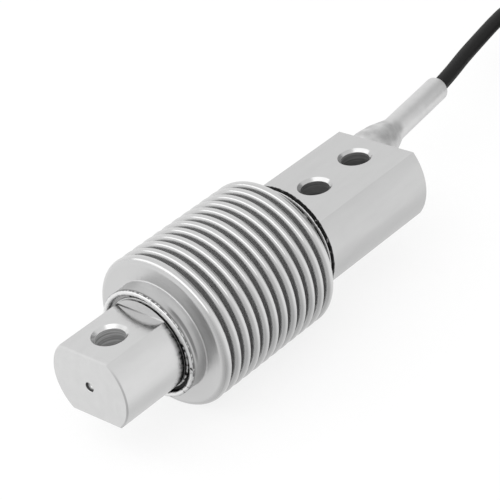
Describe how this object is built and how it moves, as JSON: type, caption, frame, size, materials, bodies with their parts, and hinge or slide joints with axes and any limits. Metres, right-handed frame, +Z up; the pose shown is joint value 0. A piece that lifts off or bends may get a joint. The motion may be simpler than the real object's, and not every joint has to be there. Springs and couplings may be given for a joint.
{
  "type": "bending beam load cell",
  "caption": "Steel bending-beam weighing sensor: flatted bar ends with cross holes, a polished bellows sealing the beam between them, and a cable leaving a tapered sleeve at the rear.",
  "frame": {"origin": "midway between the two mounting holes, on the lower flat of the fixed end", "axes": "+X along the beam from the load end to the cable end, +Y to the left seen from the load end, +Z up along the hole axes"},
  "size_m": [0.3052, 0.0768, 0.0448],
  "materials": {
    "machined_steel": "fine machined and lightly polished",
    "bellows_steel": "bright polished",
    "ring_steel": "turned",
    "bright_weld": "rippled bead, lightly brushed",
    "dark_weld": "heat darkened and rough",
    "gland_steel": "satin blasted",
    "cable_jacket": "matt jacket",
    "black_rubber": "matt",
    "gauge_foil": "etched foil under clear film",
    "polyimide_strip": "amber film",
    "circuit_board": "green lacquer",
    "resistor_body": "moulded",
    "potting_resin": "cast resin",
    "tie_nylon": "moulded nylon",
    "shrink_sleeve": "shrunk tube",
    "core_red": "insulation with a tinned tip",
    "core_black": "insulation with a tinned tip",
    "core_green": "insulation with a tinned tip",
    "core_white": "insulation with a tinned tip",
    "shield_sleeve": "sleeved shield wire with a tinned tip"
  },
  "bodies": {
    "root": {"measuring_body": "machined_steel", "bellows": "bellows_steel", "front_end_ring": "ring_steel", "rear_end_ring": "ring_steel", "front_edge_weld": "bright_weld", "front_root_weld": "dark_weld", "rear_edge_weld": "dark_weld", "rear_shoulder_weld": "dark_weld", "gauge_top_front": "gauge_foil", "gauge_top_rear": "gauge_foil", "gauge_bottom_front": "gauge_foil", "gauge_bottom_rear": "gauge_foil", "gauge_strip_top": "polyimide_strip", "gauge_strip_bottom": "polyimide_strip", "terminal_board": "circuit_board", "trim_resistors": "resistor_body", "inner_core_red": "core_red", "inner_core_black": "core_black", "inner_core_green": "core_green", "inner_core_white": "core_white", "cable_lead_in": "cable_jacket", "bore_potting": "potting_resin", "cable_gland": "gland_steel", "gland_grommet": "black_rubber", "cable": "cable_jacket", "cable_coil": "cable_jacket", "cable_tie": "tie_nylon", "cable_end_sleeve": "shrink_sleeve", "tail_red": "core_red", "tail_black": "core_black", "tail_green": "core_green", "tail_white": "core_white", "tail_shield": "shield_sleeve"}
  },
  "joints": []
}
